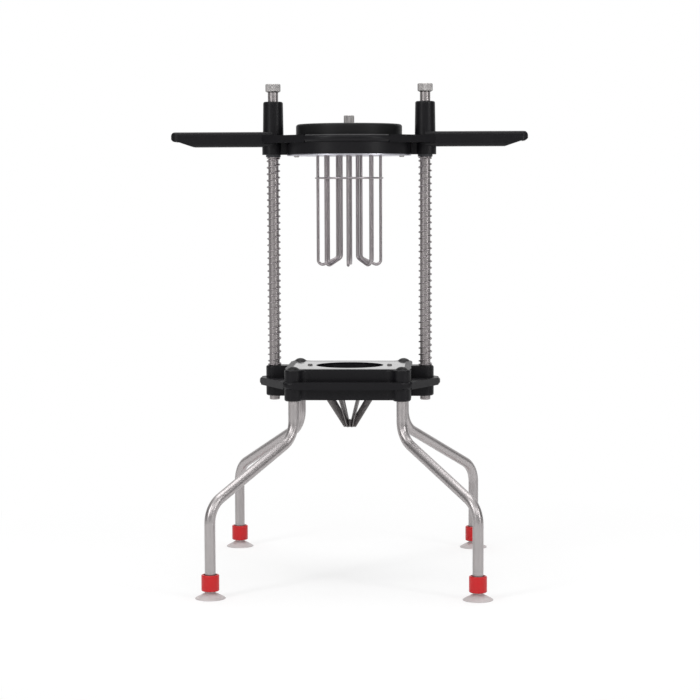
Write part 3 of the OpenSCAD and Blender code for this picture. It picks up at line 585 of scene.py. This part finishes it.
class PRESS_OT_springs(bpy.types.Operator):
    """Winds the two springs"""

    bl_idname = "press.springs"
    bl_label = "Springs"

    def execute(self, context):
        sizes = context.scene.press_sizes
        colour_now = context.scene.press_colours.wire
        wire = drawn_steel("spring_wire", colour_now, 0.26, (1, 1, 0.6), tone=0.1, bump=0.04)
        for side in SIDES:
            node = f"spring_{side}"
            low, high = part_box(node)
            centre = middle(node)
            radius = (high.x - low.x - sizes.wire) / 2
            verts, faces = wound_wire(centre, radius, low.z, high.z, sizes.wire / 2, sizes.curls)
            spring = new_piece(f"coil_{side}", verts, faces, wire, None)
            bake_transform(spring)
            even = [(v[2] - low.z) / (high.z - low.z) for v in verts]
            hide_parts(node)
        return {"FINISHED"}


def wound_wire(centre, radius, foot, top, wire_r, curls, per_curl=30, sides=10):
    """Verts and faces of a compression spring with closed, ground ends"""
    end_turns = 0.75
    easing_turns = 0.7
    ground_share = 0.55
    closed_gap = 1.02
    steps = curls * per_curl

    def openness(i):
        turns = min(i, steps - i) / per_curl
        t = min(1.0, max(0.0, (turns - end_turns) / easing_turns))
        return t * t * (3 - 2 * t)

    inset = wire_r * ground_share
    height = top - foot - 2 * inset
    closed = 2 * wire_r * closed_gap
    opened = sum(openness(i + 0.5) for i in range(steps)) / per_curl
    pitch = closed + (height - closed * curls) / opened
    verts, faces = [], []
    z = foot + inset
    for i in range(steps + 1):
        a = 2 * math.pi * i / per_curl
        rise = closed + (pitch - closed) * openness(i)
        slope = math.atan(rise / (2 * math.pi * radius))
        out = Vector((math.cos(a), math.sin(a), 0))
        along = Vector((-math.sin(a), math.cos(a), 0))
        across = along * -math.sin(slope) + Vector((0, 0, math.cos(slope)))
        middle_point = Vector((centre[0], centre[1], z)) + out * radius
        for k in range(sides):
            b = 2 * math.pi * k / sides
            p = middle_point + (out * math.cos(b) + across * math.sin(b)) * wire_r
            verts.append((p.x, p.y, min(top, max(foot, p.z))))
        z += (closed + (pitch - closed) * openness(i + 0.5)) / per_curl
    for i in range(steps):
        for k in range(sides):
            n = (k + 1) % sides
            a, b = i * sides, (i + 1) * sides
            faces.append((a + k, b + k, b + n, a + n))
    faces.append(tuple(range(sides)))
    faces.append(tuple(range(steps * sides + sides - 1, steps * sides - 1, -1)))
    return verts, faces


class PRESS_OT_fingers(bpy.types.Operator):
    """Finishes the fingers and their ring, and adds the welds between them"""

    bl_idname = "press.fingers"
    bl_label = "Fingers"

    def execute(self, context):
        size = context.scene.press_sizes.weld
        colour_now = context.scene.press_colours.wire
        dress([*numbered("finger"), "finger_ring"], drawn_steel("finger_wire", colour_now, roughness=0.25))
        bead = drawn_steel("weld_bead", shade(colour_now, 0.75), 0.4, (1, 1, 1), tone=0.2)
        low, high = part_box("finger_ring")
        reach = (high.x - low.x) / 2 - (high.z - low.z) / 2
        z = (low.z + high.z) / 2
        verts, faces = [], []
        for k in range(WEDGES):
            turn = Matrix.Rotation(2 * math.pi * k / WEDGES, 4, "Z")
            bead_verts, bead_faces = weld_bead(size, k)
            base = len(verts)
            verts += [turn @ (Vector((reach - size * 0.45, 0, z)) + v) for v in bead_verts]
            faces += [tuple(base + i for i in f) for f in bead_faces]
        new_piece("ring_welds", verts, faces, bead, "carriage")
        return {"FINISHED"}


def weld_bead(size, seed):
    """A small flattened bead of weld, a little uneven"""
    rows, sides = 8, 14
    profile = [
        (size * math.sin(math.pi * i / rows), -size * math.cos(math.pi * i / rows)) for i in range(rows + 1)
    ]
    verts, faces = turned([(max(r, 0.0), z) for r, z in profile], (0, 0, 0), sides)
    out = []
    for x, y, z in verts:
        wave = math.sin(3.1 * seed + 900 * x / size * MM + 1.7 * z / size)
        lump = 1 + 0.1 * wave * math.cos(2.3 * y / size)
        out.append(Vector((x * 0.62 * lump, y * 1.15 * lump, z * 0.85 * lump)))
    return out, faces


# ---------- studio ----------


class PRESS_OT_stage(bpy.types.Operator):
    """Makes the floor, the lamps, the world and the camera"""

    bl_idname = "press.stage"
    bl_label = "Studio"

    def execute(self, context):
        studio = context.scene.press_studio
        make_floor()
        make_world(studio.ambient)
        make_lamps()
        make_camera(studio)
        return {"FINISHED"}


def make_floor():
    """Plain pale floor that fades into the white background and keeps the shadow"""
    size = 14
    white_near = 0.62
    fade_from = 0.22
    fade_to = 0.75
    corners = [(-size, -size, 0), (size, -size, 0), (size, size, 0), (-size, size, 0)]
    mesh = bpy.data.meshes.new("floor")
    mesh.from_pydata(corners, [], [(0, 1, 2, 3)])
    f = new_material("floor")
    paper = f.noise(3, 2.0)
    matt = f.node(
        "ShaderNodeBsdfPrincipled",
        {},
        {
            "Base Color": f.mix(paper, (0.90, 0.90, 0.90), (0.92, 0.92, 0.92)),
            "Roughness": 0.85,
            "Specular IOR Level": 0.1,
        },
    )
    white = f.node("ShaderNodeEmission", {}, {"Color": (1, 1, 1, 1), "Strength": 1.0})
    seen = f.node("ShaderNodeLightPath", output="Is Camera Ray")
    away = f.node("ShaderNodeVectorMath", {"operation": "LENGTH"}, {0: f.place()}, output=1)
    share = white_near + away.above(fade_from, fade_to) * (1 - white_near)
    mixed = f.node("ShaderNodeMixShader", {}, {0: seen * share, 1: matt, 2: white})
    f.node_output(mixed)
    mesh.materials.append(f.owner)
    floor = bpy.data.objects.new("floor", mesh)
    bpy.context.scene.collection.objects.link(floor)


def make_world(ambient):
    """White to the camera; for reflections bright behind the press, dimmer in front and dark at the sides"""
    world = bpy.data.worlds.new("studio")
    bpy.context.scene.world = world
    f = Finish(world)
    here = f.node("ShaderNodeTexCoord", output="Generated")
    ahead = f.node("ShaderNodeSeparateXYZ", {}, {0: here}, output=1)
    up = f.node("ShaderNodeSeparateXYZ", {}, {0: here}, output=2)
    behind = ahead.above(0.35, 0.85)
    front = (ahead * -1).above(0.3, 0.9)
    at_sides = 0.18
    more_behind = 0.82
    more_in_front = 0.14
    more_above = 0.5
    glossy_level = at_sides + behind * more_behind + front * more_in_front + up.above(0.5, 0.9) * more_above
    ray = "ShaderNodeLightPath"
    clear = f.node(ray, output="Is Camera Ray") + f.node(ray, output="Is Transmission Ray")
    glossy = f.node(ray, output="Is Glossy Ray")
    rest = 1 - clear - glossy
    level = clear + glossy * glossy_level + rest * ambient
    back = f.node("ShaderNodeBackground", {}, {"Color": (1, 1, 1, 1), "Strength": level})
    f.node_output(back)


# Each lamp's name, place, aim, width, height and watts
LAMPS = (
    ("key_left", (-1.7, -1.9, 1.7), (0, 0, 0.35), 0.5, 1.8, 26),
    ("fill_right", (1.9, -1.5, 1.3), (0, 0, 0.35), 0.35, 1.6, 15),
    ("front_soft", (0.2, -2.6, 1.9), (0, 0, 0.3), 1.6, 0.7, 14),
    ("top_soft", (0.0, 0.3, 2.4), (0, 0, 0.3), 1.8, 1.4, 22),
)


def make_lamps():
    for name, place, aim, width, height, watts in LAMPS:
        lamp = bpy.data.lights.new(name, "AREA")
        lamp.shape = "RECTANGLE"
        lamp.size = width
        lamp.size_y = height
        lamp.energy = watts
        holder = bpy.data.objects.new(name, lamp)
        holder.location = place
        holder.rotation_euler = (Vector(aim) - Vector(place)).to_track_quat("-Z", "Y").to_euler()
        bpy.context.scene.collection.objects.link(holder)


def make_camera(studio):
    lens = bpy.data.cameras.new("camera")
    lens.sensor_width = 36
    lens.lens = studio.lens
    lens.clip_start = 0.05
    lens.clip_end = 60
    camera = bpy.data.objects.new("camera", lens)
    bpy.context.scene.collection.objects.link(camera)
    cos_yaw = math.cos(studio.yaw)
    sin_yaw = math.sin(studio.yaw)
    cos_pitch = math.cos(studio.pitch)
    sin_pitch = math.sin(studio.pitch)
    right = (cos_yaw, -sin_yaw, 0)
    up = (sin_yaw * sin_pitch, cos_yaw * sin_pitch, cos_pitch)
    back = (-sin_yaw * cos_pitch, -cos_yaw * cos_pitch, sin_pitch)
    place = (
        cos_yaw * studio.aside - sin_yaw * studio.distance,
        -sin_yaw * studio.aside - cos_yaw * studio.distance,
        studio.height,
    )
    turn = Matrix((right, up, back)).transposed().to_4x4()
    camera.matrix_world = Matrix.Translation(place) @ turn @ Matrix.Rotation(studio.roll, 4, "Z")
    bpy.context.scene.camera = camera
    bpy.context.scene.view_settings.view_transform = "Standard"


# ---------- add-on ----------

BUILDERS = (
    PRESS_OT_stage,
    PRESS_OT_mouldings,
    PRESS_OT_plates,
    PRESS_OT_rods,
    PRESS_OT_fasteners,
    PRESS_OT_legs,
    PRESS_OT_feet,
    PRESS_OT_springs,
    PRESS_OT_fingers,
)


class PRESS_PT_panel(bpy.types.Panel):
    """Lists the sizes, the colours and the builders"""

    bl_idname = "PRESS_PT_panel"
    bl_label = "Wedge press"
    bl_space_type = "VIEW_3D"
    bl_region_type = "UI"
    bl_category = "Press"

    def draw(self, context):
        for group in ("press_sizes", "press_colours", "press_studio"):
            values = getattr(context.scene, group)
            box = self.layout.box()
            for name in values.bl_rna.properties.keys():
                if name not in ("rna_type", "name"):
                    box.prop(values, name)
        for builder in BUILDERS:
            self.layout.operator(builder.bl_idname)


GROUPS = {"press_sizes": PressSizes, "press_colours": PressColours, "press_studio": PressStudio}


def register():
    for group in GROUPS.values():
        bpy.utils.register_class(group)
    for name, group in GROUPS.items():
        setattr(bpy.types.Scene, name, PointerProperty(type=group))
    for item in (*BUILDERS, PRESS_PT_panel):
        bpy.utils.register_class(item)


def unregister():
    for item in (PRESS_PT_panel, *reversed(BUILDERS)):
        bpy.utils.unregister_class(item)
    for name, group in GROUPS.items():
        delattr(bpy.types.Scene, name)
        bpy.utils.unregister_class(group)


def main():
    register()
    bpy.ops.press.stage()
    bpy.ops.press.mouldings()
    bpy.ops.press.plates()
    bpy.ops.press.rods()
    bpy.ops.press.fasteners()
    bpy.ops.press.legs()
    bpy.ops.press.feet()
    bpy.ops.press.springs()
    bpy.ops.press.fingers()


if __name__ == "__main__":
    main()
